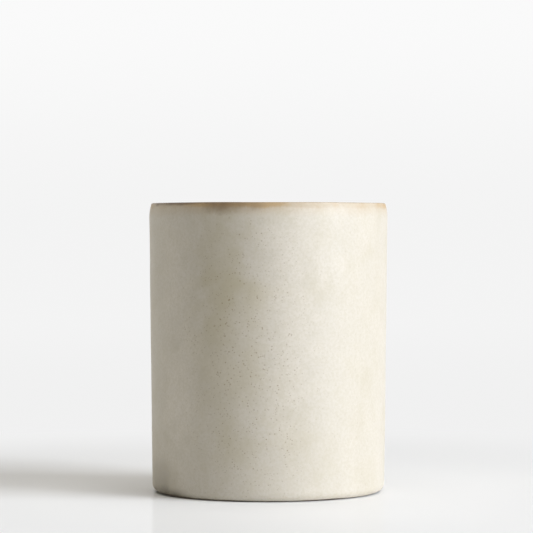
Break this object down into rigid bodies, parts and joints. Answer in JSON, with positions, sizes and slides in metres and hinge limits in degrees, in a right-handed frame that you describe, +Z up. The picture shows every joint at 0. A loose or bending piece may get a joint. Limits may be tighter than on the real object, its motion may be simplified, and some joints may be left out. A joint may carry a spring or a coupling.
{
  "type": "utensil crock",
  "caption": "Open cylindrical stoneware crock with a slight taper, drawn-in toffee-brown lip, cream glaze inside and out, and a bare clay foot ring; holds kitchen utensils upright.",
  "frame": {"origin": "centre of the foot ring's bearing face, on the pot's axis", "axes": "+Z up along the pot's axis, from the foot to the lip; the pot is round, so X and Y are any two level directions"},
  "size_m": [0.152, 0.152, 0.1835],
  "materials": {
    "bare_clay": "bare buff stoneware, dry and slightly gritty, with fine iron specks",
    "cream_glaze": "satin cream glaze with faint clouding and fine brown specks",
    "toffee_glaze": "thin toffee-brown glaze, uneven along its lower edge",
    "liner_glaze": "satin cream glaze, a little glossier than outside, with fine specks"
  },
  "bodies": {
    "root": {"stoneware_body": "bare_clay", "outer_glaze": "cream_glaze", "lip_glaze": "toffee_glaze", "liner_glaze": "liner_glaze", "recess_glaze": "liner_glaze"}
  },
  "joints": []
}
